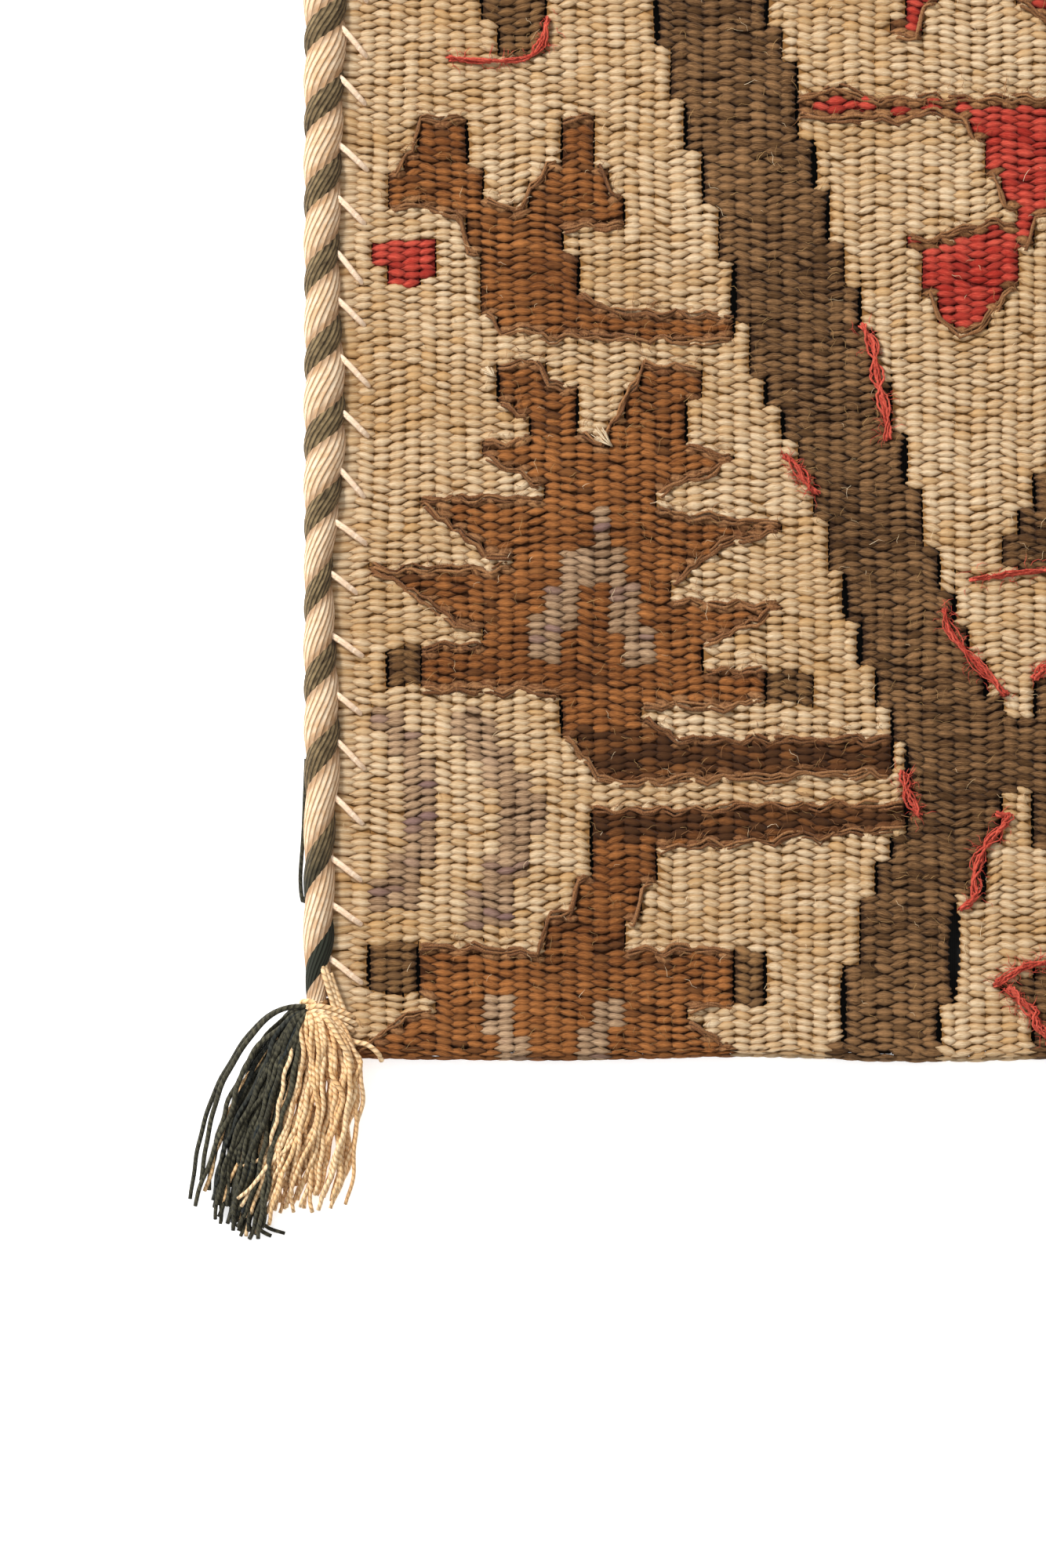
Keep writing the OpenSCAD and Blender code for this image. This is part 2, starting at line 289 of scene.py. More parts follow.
# Where the rust and red figures meet the cream ground across the ribs, the first grain of the
# figure is of the brown outline yarn
CREAM, RUST, RED = COLOURS.index("cream"), COLOURS.index("rust"), COLOURS.index("red")
CHIP_RIBS = 7
CHAIN_STEP = 4
OUTLINE_SHARE = 0.9
chains, open_ends = [], {}
for i in range(RIBS):
    next_ends = {}
    for j in range(extra + 1, grain_y.shape[1] - extra):
        below, above = colour[i, j - 1], colour[i, j]
        kind = None
        if below == CREAM and above in (RUST, RED):
            kind = ("under", above)
        if above == CREAM and below in (RUST, RED):
            kind = ("over", below)
        # The small red chip beside the cord has no outline
        if kind is None or (kind[1] == RED and min(i, RIBS - 1 - i) < CHIP_RIBS):
            continue
        # The chain goes on from its nearest end in the rib before, or a new one begins
        near_ends = [end for end in open_ends if end[0] == kind and abs(end[1] - j) <= CHAIN_STEP]
        if near_ends:
            chain = open_ends.pop(min(near_ends, key=lambda end: abs(end[1] - j)))
        else:
            chain = []
            chains.append(chain)
        chain.append((i, j))
        next_ends[(kind, j)] = chain
    open_ends = next_ends
for chain in chains:
    for i, j in chain:
        outlined = j if colour[i, j] != CREAM else j - 1
        if rng.uniform() < OUTLINE_SHARE:
            grain_colour[i, outlined] = len(COLOURS)

# The design turns over every block of rows. The lowest long arms of its rust figures are browner
BLOCK_ROWS = 150
ARM_ROWS = (27, 42)
block_row = np.abs((row_number + BLOCK_ROWS) % (2 * BLOCK_ROWS) - BLOCK_ROWS)
in_arm = (block_row > ARM_ROWS[0]) & (block_row < ARM_ROWS[1])
browner = (colour == RUST) & in_arm[None, :]

# One grain of yarn, modelled once: a small arched grid, pinched at its ends
GRAIN_ACROSS, GRAIN_ALONG = 5, 3
bpy.ops.mesh.primitive_grid_add(
    x_subdivisions=GRAIN_ACROSS - 1, y_subdivisions=GRAIN_ALONG - 1, size=2, location=(0, 0, 0)
)
grain = bpy.context.object
grain_points = np.array([v.co for v in grain.data.vertices])
grain_faces = np.array([p.vertices for p in grain.data.polygons])
bpy.data.objects.remove(grain)
grain_a, grain_b = grain_points[:, 0], grain_points[:, 1]

crest = face_top + 0.2
rib_drop = 0.8
side_drop = 0.62
# How far a grain reaches under its neighbours, at a closed border and beside a slit
reach = 0.72
slit_reach = 0.12
# The outermost ribs stand out a little further
selvage_out = 0.5
rib_lean = rng.normal(0, 0.35, RIBS)
rolled = half_l - 2.2


def grains(which):
    """Points, faces, map and tint of the grains whose (rib, row) numbers are given."""
    i, j = which
    n = len(i)
    a, b = grain_a[None, :], grain_b[None, :]
    left = rib_x[i] - rib / 2 - np.where(back_left[i, j] > 0, slit_reach, reach) + back_left[i, j]
    right = rib_x[i] + rib / 2 + np.where(back_right[i, j] > 0, slit_reach, reach) - back_right[i, j]
    left = left - selvage_out * (i == 0)
    right = right + selvage_out * (i == RIBS - 1)
    size = rng.uniform(0.82, 1.22, n)[:, None]
    shift = rng.normal(0, 0.08, n)[:, None]
    lift = rng.normal(0, 0.1, n)[:, None]
    y0 = grain_y[i, j]
    lean = rib_lean[i] + 0.9 * ripple(rib_x[i] * 37.7, y0, 30, 11) + rng.normal(0, 0.4, n)
    x = (left + right)[:, None] / 2 + a * (right - left)[:, None] / 2
    selvage = (i == 0) | (i == RIBS - 1)
    pinch = np.where(selvage, 0.45, 0.98)[:, None]
    half_height = 0.5 * row * size * (1.2 - pinch * np.abs(a) ** 1.5)
    bunch = 0.3 * ripple(rib_x[i] * 2.3, y0, 17, 12)[:, None]
    y = y0[:, None] + b * half_height + row * (shift + 0.24 * lean[:, None] * a) + bunch
    # The last rows lie tighter, in a straight line along the end of the cloth
    tight = np.where(np.abs(y0) > rolled, 0.3, 1.0)[:, None]
    z = crest + lift * tight - rib_drop * tight * a * a - side_drop * np.abs(b) * (1 - 0.35 * a * a)
    points = lay(np.stack([x + 0 * b, y, z], -1))
    faces = grain_faces[None] + np.arange(n)[:, None, None] * len(grain_a)
    spot = rng.uniform(0, 40, n)[:, None]
    uv = np.stack([spot + (a + 1) / 2 + 0 * b, spot * 0.37 + (b + 1) / 2 + 0 * a], -1)
    tone = 0.5 + 0.16 * ripple(rib_x[i], y0, 45, 21) + 0.13 * ripple(0 * y0, y0, 7, 22)
    tone = tone + rng.normal(0, 0.13, n)
    # Painted shade: each grain darkens towards its rim, where it dips under its neighbours
    rim_shade = np.clip(0.8 * np.abs(b) ** 1.5 + 0.5 * np.abs(a) ** 3.5, 0, 1)
    flat = 0 * rim_shade
    lot = rng.uniform(0, 1, n)
    lot = np.where(browner[i, j], 0.94 + 0.2 * lot, lot)[:, None]
    tone = np.clip(tone, 0, 1)[:, None]
    tint = np.stack([tone + flat, rim_shade + 0 * y, lot + flat, flat + 1 + 0 * y], -1)
    return points.reshape(-1, 3), faces.reshape(-1, 4), uv.reshape(-1, 2), tint.reshape(-1, 4)


BED_ROWS = 4
BED_DEPTH = 1.05


def bed(ribs, first, last, wanted):
    """Strips under the grains in painted shade, so that nothing shows between two grains of one colour."""
    points, faces, uv, tint = [], [], [], []
    for i in ribs:
        j = first
        while j < last:
            run = 0
            while j + run < last and run < BED_ROWS and grain_colour[i, j + run] == wanted:
                run += 1
            if run == 0:
                j += 1
                continue
            x0 = rib_x[i] - rib / 2 + 0.05 + back_left[i, j : j + run].max() * 1.1 - selvage_out * (i == 0)
            x1 = rib_x[i] + rib / 2 - 0.05 - back_right[i, j : j + run].max() * 1.1
            x1 = x1 + selvage_out * (i == RIBS - 1)
            y0, y1 = grain_y[i, j] - row / 2, grain_y[i, j + run - 1] + row / 2
            z = crest - BED_DEPTH
            start = len(points)
            points += [(x0, y0, z), (x1, y0, z), (x1, y1, z), (x0, y1, z)]
            faces.append([start, start + 1, start + 2, start + 3])
            uv += [(0, 0), (1, 0), (1, run), (0, run)]
            # Painted shade: the strips take almost all of the wool's dark colour
            tint += [(0.4, 0.92, 0.5, 1)] * 4
            j += run
    if not points:
        return None
    return lay(np.array(points, float)), np.array(faces), np.array(uv, float), np.array(tint, float)


def new_piece(name, parts, material):
    """One mesh object from lists of (points, faces, map, tint), in metres."""
    parts = [p for p in parts if p is not None and len(p[0])]
    offset = 0
    face_lists, maps = [], []
    for points, faces, uv, _ in parts:
        face_lists.append(np.asarray(faces) + offset)
        offset += len(points)
        # The map is given for every corner of every face, or else for every point
        maps.append(uv.reshape(-1, 2) if uv.ndim == 3 else uv[np.asarray(faces).ravel()])
    points = np.concatenate([p[0] for p in parts])
    faces = np.concatenate(face_lists)
    uv = np.concatenate(maps)
    tint = np.concatenate([p[3] for p in parts])
    mesh = bpy.data.meshes.new(name)
    mesh.vertices.add(len(points))
    mesh.vertices.foreach_set("co", points.astype(np.float32).ravel())
    sides = faces.shape[1]
    mesh.loops.add(len(faces) * sides)
    mesh.loops.foreach_set("vertex_index", faces.astype(np.int32).ravel())
    mesh.polygons.add(len(faces))
    mesh.polygons.foreach_set("loop_start", np.arange(len(faces), dtype=np.int32) * sides)
    mesh.update(calc_edges=True)
    mesh.validate()
    mesh.uv_layers.new(name="yarn_map")
    mesh.uv_layers[0].data.foreach_set("uv", uv.astype(np.float32).ravel())
    layer = mesh.color_attributes.new("tint", "FLOAT_COLOR", "POINT")
    layer.data.foreach_set("color", tint.astype(np.float32).ravel())
    mesh.polygons.foreach_set("use_smooth", np.ones(len(faces), bool))
    mesh.materials.append(material)
    piece = bpy.data.objects.new(name, mesh)
    scene.collection.objects.link(piece)
    return piece


def srgb(code):
    """A colour written as #rrggbb, as the linear values that a shader takes."""
    parts = [int(code[k : k + 2], 16) / 255 for k in (1, 3, 5)]
    return [c / 12.92 if c <= 0.04045 else ((c + 0.055) / 1.055) ** 2.4 for c in parts] + [1]


FIBRE_CONTRAST = 3.0
STRAY_FROM = 0.82
STRAY_SLOPE = 3.9


def yarn_material(name, dark, low, high, stray, twist=(2.2, 12.0), plies=0, depth=0.5):
    """Spun yarn: tone by the tint, painted shade of the dark colour where it dips, fine slanting fibres from
    the twist.

    plies counts the yarns round a bundle whose map runs once round it, and depth is how dark the
    painted shade in the grooves between them is."""
    material = bpy.data.materials.new(name)
    material.use_nodes = True
    tree = material.node_tree
    nodes, links = tree.nodes, tree.links
    shader = nodes["Principled BSDF"]
    set_inputs(shader, {"Roughness": 0.92, "Sheen Weight": 0.05})
    set_inputs(shader, {"Sheen Roughness": 0.5, "Specular IOR Level": 0.18})

    def math_node(kind, first, second=None, clamp=False):
        node = nodes.new("ShaderNodeMath")
        node.operation = kind
        node.use_clamp = clamp
        for socket, value in zip(node.inputs, (first, second)):
            if value is None:
                continue
            if isinstance(value, (int, float)):
                socket.default_value = value
            else:
                links.new(value, socket)
        return node.outputs["Value"]

    def blend_colours(factor, first, second):
        node = nodes.new("ShaderNodeMix")
        node.data_type = "RGBA"
        links.new(factor, node.inputs["Factor"])
        for socket, value in ((node.inputs["A"], first), (node.inputs["B"], second)):
            if isinstance(value, str):
                socket.default_value = srgb(value)
            else:
                links.new(value, socket)
        return node.outputs["Result"]

    attribute = nodes.new("ShaderNodeAttribute")
    attribute.attribute_name = "tint"
    split = nodes.new("ShaderNodeSeparateColor")
    links.new(attribute.outputs["Color"], split.inputs["Color"])
    uv = nodes.new("ShaderNodeUVMap")
    uv.uv_map = "yarn_map"
    slant = nodes.new("ShaderNodeMapping")
    set_inputs(slant, {"Scale": (twist[0], twist[1], 1), "Rotation": (0, 0, 0.3)})
    links.new(uv.outputs["UV"], slant.inputs["Vector"])
    fibre = nodes.new("ShaderNodeTexNoise")
    set_inputs(fibre, {"Scale": 1.0, "Detail": 3.0, "Roughness": 0.65})
    links.new(slant.outputs["Vector"], fibre.inputs["Vector"])
    fibres = math_node("MULTIPLY", math_node("SUBTRACT", fibre.outputs["Fac"], 0.5), FIBRE_CONTRAST)
    tone = math_node("ADD", split.outputs["Red"], fibres)
    height = fibre.outputs["Fac"]
    # The tint's second channel is how much painted shade, in the dark colour, lies on the yarn
    dip = math_node("POWER", split.outputs["Green"], 1.4)
    if plies:
        place = nodes.new("ShaderNodeSeparateXYZ")
        links.new(uv.outputs["UV"], place.inputs["Vector"])
        count = math_node("MULTIPLY", place.outputs["X"], float(plies))
        groove = math_node("ABSOLUTE", math_node("SINE", math_node("MULTIPLY", count, math.pi)))
        which = nodes.new("ShaderNodeTexWhiteNoise")
        which.noise_dimensions = "1D"
        links.new(math_node("FLOORED_MODULO", math_node("FLOOR", count), float(plies)), which.inputs["W"])
        ply_tone = math_node("MULTIPLY", math_node("SUBTRACT", which.outputs["Value"], 0.5), 0.25)
        tone = math_node("ADD", tone, ply_tone)
        body = math_node("POWER", groove, 0.6)
        # Painted shade in the grooves between the plies
        dip = math_node("MAXIMUM", dip, math_node("MULTIPLY", math_node("SUBTRACT", 1.0, body), depth))
        height = math_node("ADD", math_node("MULTIPLY", fibre.outputs["Fac"], 0.3), body)
    tone = math_node("ADD", tone, 0.0, clamp=True)
    body_colour = blend_colours(tone, low, high)
    # A few grains stray towards another dye lot
    past = math_node("SUBTRACT", split.outputs["Blue"], STRAY_FROM)
    lot = math_node("MULTIPLY", past, STRAY_SLOPE, clamp=True)
    strayed = blend_colours(lot, body_colour, stray)
    # Painted shade: blend towards the dark colour where the yarn dips
    shaded = blend_colours(dip, strayed, dark)
    links.new(shaded, shader.inputs["Base Color"])
    relief = nodes.new("ShaderNodeBump")
    set_inputs(relief, {"Strength": 0.8, "Distance": 0.0003})
    links.new(height, relief.inputs["Height"])
    links.new(relief.outputs["Normal"], shader.inputs["Normal"])
    return material


# The first colour of each wool is painted shade: grain rims and the strips under the grains are blended
# towards it, and the outline yarns take a random share of it
wool = {
    "cream": yarn_material("cream_wool", "#87581f", "#c29d6e", "#e8cfab", "#cda26c"),
    "brown": yarn_material("brown_wool", "#210f05", "#4d3219", "#a0774e", "#41290f"),
    "rust": yarn_material("rust_wool", "#301605", "#72401b", "#b8763f", "#4c2e16"),
    "dark": yarn_material("dark_wool", "#2d190a", "#664729", "#a67c4f", "#7a5a3a"),
    "lilac": yarn_material("lilac_wool", "#4a2f1a", "#8a6a4c", "#cfac88", "#7d5f66"),
    "red": yarn_material("red_wool", "#5d0c08", "#aa2b1f", "#e3614c", "#8a1811"),
    "outline": yarn_material("outline_wool", "#3a1f0d", "#74482a", "#ac7c50", "#5a3519", twist=(5, 4)),
}

panel_of_row = np.full(grain_y.shape, 1)
panel_of_row[grain_y < -fold_y + bend] = 0
panel_of_row[grain_y > fold_y - bend] = 2
HINGES = {"front": (-1, "front_drop"), "back": (1, "back_drop")}


def hang(piece, panel):
    """The piece lies on the middle of the runner, or else is baked in place where it lies."""
    if panel == "middle":
        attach(piece, "middle")
        return
    end, body = HINGES[panel]
    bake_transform(piece)


weave_pieces = {panel: [] for panel in PANELS}
for p, panel in enumerate(PANELS):
    for c, name in enumerate(COLOURS + ["outline"]):
        halves = [(0, RIBS // 2), (RIBS // 2, RIBS)] if (name, panel) == ("cream", "middle") else [(0, RIBS)]
        for h, (r0, r1) in enumerate(halves):
            chosen = np.argwhere((grain_colour == c) & (panel_of_row == p))
            chosen = chosen[(chosen[:, 0] >= r0) & (chosen[:, 0] < r1)]
            if not len(chosen):
                continue
            rows = chosen[:, 1]
            wanted_rows = (rows.min(), rows.max() + 1)
            parts = [grains((chosen[:, 0], chosen[:, 1])), bed(range(r0, r1), *wanted_rows, c)]
            title = f"{panel}_{name}_weave" + (["_left", "_right"][h] if len(halves) > 1 else "")
            piece = new_piece(title, parts, wool[name])
            if h == 0 and name in COLOURS:
                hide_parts(f"{panel}_{name}_weft")
            hang(piece, panel)
            weave_pieces[panel].append(piece)

for panel in ("front", "back"):
    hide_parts(f"{panel}_turned_edge")

# --------------------------------------------
# Side cords. Two unequal bundles of fine yarn, a thick cream one and a thinner dark one, are laid
# together into a cord that runs down each long edge. The yarns inside each bundle show as grooves,
# darkened with painted shade.

cord_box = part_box("middle_right_cord")
cord_r = (cord_box[1].z - cord_box[0].z) / 2 / MM
cord_x = (cord_box[1].x + cord_box[0].x) / 2 / MM
cord_end = -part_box("front_right_cord")[0].y / MM
knot_x = (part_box("front_right_knot")[0].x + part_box("front_right_knot")[1].x) / 2 / MM
BUNDLES = {
    "cream": {"radius": 3.08, "offset": 0.34, "start": -math.pi / 2, "fade": 0.45},
    "dark": {"radius": 2.7, "offset": 0.64, "start": math.pi / 2, "fade": 0.6},
}
# depth sets the painted shade in the grooves between the yarns of a bundle; the first colour of each cord
# yarn is that painted shade
cord_look = {"twist": (14, 0.5), "plies": 18, "depth": 1.0}
cord_material = {
    "cream": yarn_material("cream_cord_yarn", "#8f6238", "#ddb88f", "#f3dcbd", "#e0b88c", **cord_look),
    "dark": yarn_material("dark_cord_yarn", "#120d07", "#4a3c29", "#8f7a58", "#303329", **cord_look),
}
RING_STEP = 1.1
RING_SIDES = 24
TUCK = 4.4
# Over how much of its end a bundle narrows, and how far round the right cord is turned
NARROWING = 11
RIGHT_CORD_TURN = 1.7


def round_tube(points, u, v, tint):
    """Faces between rings of points, with a map that runs once round without a seam."""
    n, m = points.shape[:2]
    base = (np.arange(n - 1) * m)[:, None]
    k = np.arange(m)[None]
    after = (k + 1) % m
    faces = np.stack([base + k, base + after, base + m + after, base + m + k], -1)
    last = (k + 1) // m
    loop_u = np.stack([u[:-1], np.roll(u[:-1], -1, 1) + last, np.roll(u[1:], -1, 1) + last, u[1:]], -1)
    loop_v = np.stack([v[:-1], v[:-1], v[1:], v[1:]], -1) + 0 * loop_u
    uv = np.stack([loop_u, loop_v], -1)
    return points.reshape(-1, 3), faces.reshape(-1, 4), uv.reshape(-1, 4, 2), tint.reshape(-1, 4)


cord_y = np.arange(-cord_end - TUCK, cord_end + TUCK + RING_STEP / 2, RING_STEP)
# The twist is slacker over the last six centimetres before a knot
slack = 59.0
slack_pitch = 20.3
tight_pitch = 15.4
pitch = np.where(half_l - np.abs(cord_y) < slack, slack_pitch, tight_pitch)
cord_turn = np.cumsum(2 * math.pi * RING_STEP / pitch)
cord_turn -= np.interp(-half_l + slack, cord_y, cord_turn)


def bundle(side, kind, y0, y1):
    """One bundle of the cord on one side, between two places along it."""
    spec = BUNDLES[kind]
    keep = (cord_y >= y0 - 1e-6) & (cord_y <= y1 + 1e-6)
    y = cord_y[keep]
    turn = cord_turn[keep] + spec["start"] + (RIGHT_CORD_TURN if side > 0 else 0)
    around = np.linspace(0, 2 * math.pi, RING_SIDES, endpoint=False)[None]
    to_knot = np.clip((np.abs(y) - (cord_end - NARROWING)) / (NARROWING + TUCK), 0, 1)
    squeeze = (1 - spec["fade"] * to_knot**1.6)[:, None]
    away = np.stack([-np.cos(turn), np.sin(turn)], -1)[:, None]
    along = np.stack([np.sin(turn), np.cos(turn)], -1)[:, None]
    xz = away * (spec["offset"] * squeeze)[..., None]
    radius = spec["radius"] * squeeze
    xz = xz + (radius * np.cos(around))[..., None] * away + (radius * np.sin(around))[..., None] * along
    # It is pressed flat between its straight outer edge and the wavering edge of the cloth
    outer = cord_x + cord_r + 0.25 + 0.12 * ripple(y, 0 * y, 40, 31 + side)
    inner = half_w + side * sway(side, y) - 0.35
    centre, half = (outer + inner) / 2, (outer - inner) / 2
    centre = centre + (knot_x - centre - 0.2) * to_knot**1.5
    x = side * centre[:, None] + xz[..., 0] * (half / cord_r)[:, None]
    z = np.maximum(cord_r + 0.3 * to_knot[:, None] + xz[..., 1], 0.02)
    flat = 0 * x
    points = np.stack([x, y[:, None] + flat, z], -1)[:, ::-1] * MM
    u = -((around + 0.72 * turn[:, None]) / (2 * math.pi))[:, ::-1]
    # Painted shade on the side of each bundle that faces the other, where the two press together
    facing = np.cos(around) * spec["radius"] + spec["offset"]
    crease_shade = np.clip((1.5 - facing) / 1.6, 0, 1)[:, ::-1] * 0.75
    tone = 0.5 + 0.12 * ripple(y, 0 * y, 12, 33)[:, None] + flat
    # The dark yarn is greener and blacker towards the knots
    green = np.clip((np.abs(y) - half_l + 70) / 40, 0, 1)[:, None] if kind == "dark" else 0
    tint = np.stack([tone, crease_shade + flat, 0.3 + 0.8 * green + flat, 1 + flat], -1)
    return round_tube(points, u, y[:, None] + flat, tint)


for panel in PANELS:
    y0, y1 = {
        "front": (-cord_end - TUCK, -fold_y + bend),
        "middle": (-fold_y + bend - RING_STEP, fold_y - bend + RING_STEP),
        "back": (fold_y - bend, cord_end + TUCK),
    }[panel]
    for side, side_name in SIDES:
        for kind in BUNDLES:
            parts = [bundle(side, kind, y0, y1)]
            piece = new_piece(f"{panel}_{side_name}_cord_{kind}", parts, cord_material[kind])
            if kind == "cream":
                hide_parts(f"{panel}_{side_name}_cord")
            hang(piece, panel)

# --------------------------------------------
# Whip stitches. A doubled sewing thread comes up between the cord and the cloth, lies slanting
# over the first ribs and goes down again, every centimetre or so, and holds the cord on.

STITCH_OUT = 0.7
STITCH_LENGTH = 5.0
STITCH_RADIUS = 0.45
STITCH_POINTS = 11


def tube(path, radius, sides=8, twist=2.4, tone=0.5, stray=0.3, taper=0.0, dip=0.1):
    """A closed yarn along a path in millimetres; twist, in radians per millimetre, turns its map."""
    path = np.asarray(path, float)
    step = np.gradient(path, axis=0)
    step /= np.linalg.norm(step, axis=1)[:, None] + 1e-9
    along = np.concatenate([[0], np.cumsum(np.linalg.norm(np.diff(path, axis=0), axis=1))])
    side = np.cross(step, [0.0, 0.0, 1.0])
    lengths = np.linalg.norm(side, axis=1)[:, None]
    side = np.where(lengths > 0.2, side / (lengths + 1e-9), [1.0, 0.0, 0.0])
    up = np.cross(side, step)
    path = np.concatenate([path[:1], path, path[-1:]])
    side = np.concatenate([side[:1], side, side[-1:]])
    up = np.concatenate([up[:1], up, up[-1:]])
    along = np.concatenate([along[:1], along, along[-1:]])
    size = radius * (1 - taper * np.linspace(0, 1, len(path)) ** 3)
    size[0] = size[-1] = 0.01
    around = np.linspace(0, 2 * math.pi, sides, endpoint=False)[None, :, None]
    outward = np.cos(around) * side[:, None] + np.sin(around) * up[:, None]
    ring = path[:, None] + size[:, None, None] * outward
    u = around[..., 0] / (2 * math.pi) - along[:, None] * twist / (2 * math.pi)
    flat = 0 * u
    tint = np.stack([tone + flat, dip + flat, stray + flat, 1 + flat], -1)
    return round_tube(ring * MM, u, along[:, None] + flat, tint)


def smooth_path(points, count):
    """A smooth curve through a few points, as many points as asked."""
    points = np.asarray(points, float)
    t = np.concatenate([[0], np.cumsum(np.linalg.norm(np.diff(points, axis=0), axis=1))])
    t = t / t[-1]
    padded = np.concatenate([[2 * points[0] - points[1]], points, [2 * points[-1] - points[-2]]])
    out = []
    for u in np.linspace(0, 1, count):
        k = max(min(np.searchsorted(t, u, side="right") - 1, len(points) - 2), 0)
        f = (u - t[k]) / (t[k + 1] - t[k] + 1e-9)
        p0, p1, p2, p3 = padded[k : k + 4]
        bow = 2 * p0 - 5 * p1 + 4 * p2 - p3
        out.append(0.5 * (2 * p1 + (p2 - p0) * f + bow * f**2 + (3 * p1 - p0 - 3 * p2 + p3) * f**3))
    return np.array(out)


def islands(node):
    """The lowest and highest corner of each separate solid of a CAD node, in millimetres."""
    mesh = frame["nodes"][node].data
    parent = {}

    def root(a):
        while parent[a] != a:
            parent[a] = parent[parent[a]]
            a = parent[a]
        return a

    keys = [tuple(round(c * 1e5) for c in v.co) for v in mesh.vertices]
    for key in keys:
        parent.setdefault(key, key)
    for polygon in mesh.polygons:
        first = root(keys[polygon.vertices[0]])
        for v in polygon.vertices[1:]:
            parent[root(keys[v])] = first
    groups = {}
    for key in parent:
        groups.setdefault(root(key), []).append(np.array(key) / 100)
    boxes = [(np.min(g, 0), np.max(g, 0)) for g in groups.values()]
    return sorted(boxes, key=lambda b: b[0][1])


thread = yarn_material("sewing_thread", "#cf9d72", "#eac49f", "#fadfc2", "#f0d2b2", twist=(3, 1))
for panel in PANELS:
    for side, side_name in SIDES:
        parts = []
        for low, high in islands(f"{panel}_{side_name}_stitches"):
            wander = rng.uniform(-1.4, 1.4)
            length = rng.uniform(0.85, 1.15)
            slant = rng.uniform(0.95, 1.55)
            from_x = side * (half_w + STITCH_OUT)
            to_x = side * (half_w + STITCH_OUT - STITCH_LENGTH * length)
            from_y = high[1] + wander
            to_y = from_y - (high[1] - low[1]) * slant
            shift = float(sway(side, from_y))
            for strand in (-1, 1):
                route = [
                    (from_x + side * 0.1, from_y + 0.5, face_top - 0.6),
                    (from_x, from_y, face_top + 0.75),
                    (from_x * 0.64 + to_x * 0.36, from_y * 0.66 + to_y * 0.34, face_top + 1.15),
                    (from_x * 0.3 + to_x * 0.7, from_y * 0.3 + to_y * 0.7, face_top + 0.9),
                    (to_x, to_y, face_top + 0.1),
                    (to_x - side * 0.3, to_y - 0.25, face_top - 0.9),
                ]
                path = smooth_path(route, STITCH_POINTS)
                path[:, 0] += shift * np.linspace(1, 0.6, STITCH_POINTS)
                path[:, 1] += strand * 0.2 * np.sin(np.linspace(0.6, 2.9, STITCH_POINTS))
                path[:, 2] += 0.05 * strand
                parts.append(tube(path, STITCH_RADIUS, 6, tone=rng.uniform(0.5, 0.95), dip=0.0))
        piece = new_piece(f"{panel}_{side_name}_whip_stitches", parts, thread)
        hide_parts(f"{panel}_{side_name}_stitches")
        hang(piece, panel)

# --------------------------------------------
# Tassels. At each end of a cord its yarns are knotted, bound to the corner of the cloth and left
# to hang loose: the dark ones fan outwards and the cream ones fall beside them.

knot_y = -(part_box("front_right_knot")[0].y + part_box("front_right_knot")[1].y) / 2 / MM
# The outermost and innermost yarn of each colour, seen from above, and yarns that lie over the
# others, with their heights
DARK_OUTER = [
    (-1, 0.8), (-4.5, 0.8), (-8.2, -0.6), (-12, -4.2),
    (-15.4, -9.3), (-19, -16), (-21.7, -25), (-23.3, -35.5),
]
DARK_INNER = [
    (-1.2, -0.3), (-2.2, -2.6), (-3.2, -8), (-4.4, -14),
    (-5.8, -21), (-7.6, -28), (-9.6, -36), (-11.2, -42.5),
]
CREAM_INNER = [
    (-1.4, -0.4), (-2.6, -3), (-3.3, -8), (-4.6, -14),
    (-6.2, -21), (-8.2, -27.6), (-10.2, -34), (-11.8, -39),
]
CREAM_OUTER = [
    (0.6, 0.4), (4, -1.6), (6.6, -6), (7.6, -11),
    (7.7, -16.5), (6.8, -23), (5.6, -29.5), (3.6, -36),
]
CREAM_OVER = [
    [
        (-2, -3, 5), (-4, -12, 5.4), (-6.3, -22, 5),
        (-7.4, -26.3, 4.6), (-10.4, -28.4, 4.2), (-13.4, -29.6, 3.6),
    ],
    [
        (0, -6, 5), (-2, -16, 5.2), (-4.2, -25, 5),
        (-8, -28.7, 4.6), (-12, -33.8, 4.2), (-14.5, -35.8, 3.4),
    ],
    [
        (-1, -2, 5), (-3, -14, 5.2), (-5.4, -24, 5),
        (-8.4, -29, 4.4), (-11.4, -33.2, 3.8), (-13.8, -37.4, 3.0),
    ],
    [
        (2.2, -1.2, 5.4), (5.6, -6, 4.6), (7.6, -12, 3.4),
        (8.5, -16.4, 2.4), (7.8, -19.4, 1.6), (6, -22, 1.0),
    ],
]
DARK_CURLS = [
    [(-8, -30, 2.4), (-10, -36, 1.8), (-10.4, -39.6, 1.4), (-8.8, -41.6, 1.1), (-5.6, -42.7, 0.8)],
    [(-9, -32, 2.4), (-11, -38, 1.7), (-11, -41, 1.3), (-9.8, -42.4, 1.0), (-8.2, -43.2, 0.8)],
    [(-10, -34, 2.2), (-12.4, -39, 1.6), (-12.4, -41.4, 1.2), (-11.6, -42.4, 1.0), (-10.8, -42.8, 0.8)],
]
STRANDS = 58
STRAIGHT_STRANDS = 2
STRAYED_STRANDS = 7
STRAND_POINTS = 36
# depth sets the painted shade in the groove between the two plies of each yarn; the first colour of each is
# that painted shade
plied = {"twist": (3, 1), "plies": 2, "depth": 0.6}
strand_material = {
    "cream": yarn_material("cream_tassel_yarn", "#cf965a", "#e8bc85", "#f9ddb3", "#e4b784", **plied),
    "dark": yarn_material("dark_tassel_yarn", "#0d0d09", "#312f25", "#5c5846", "#263036", **plied),
}


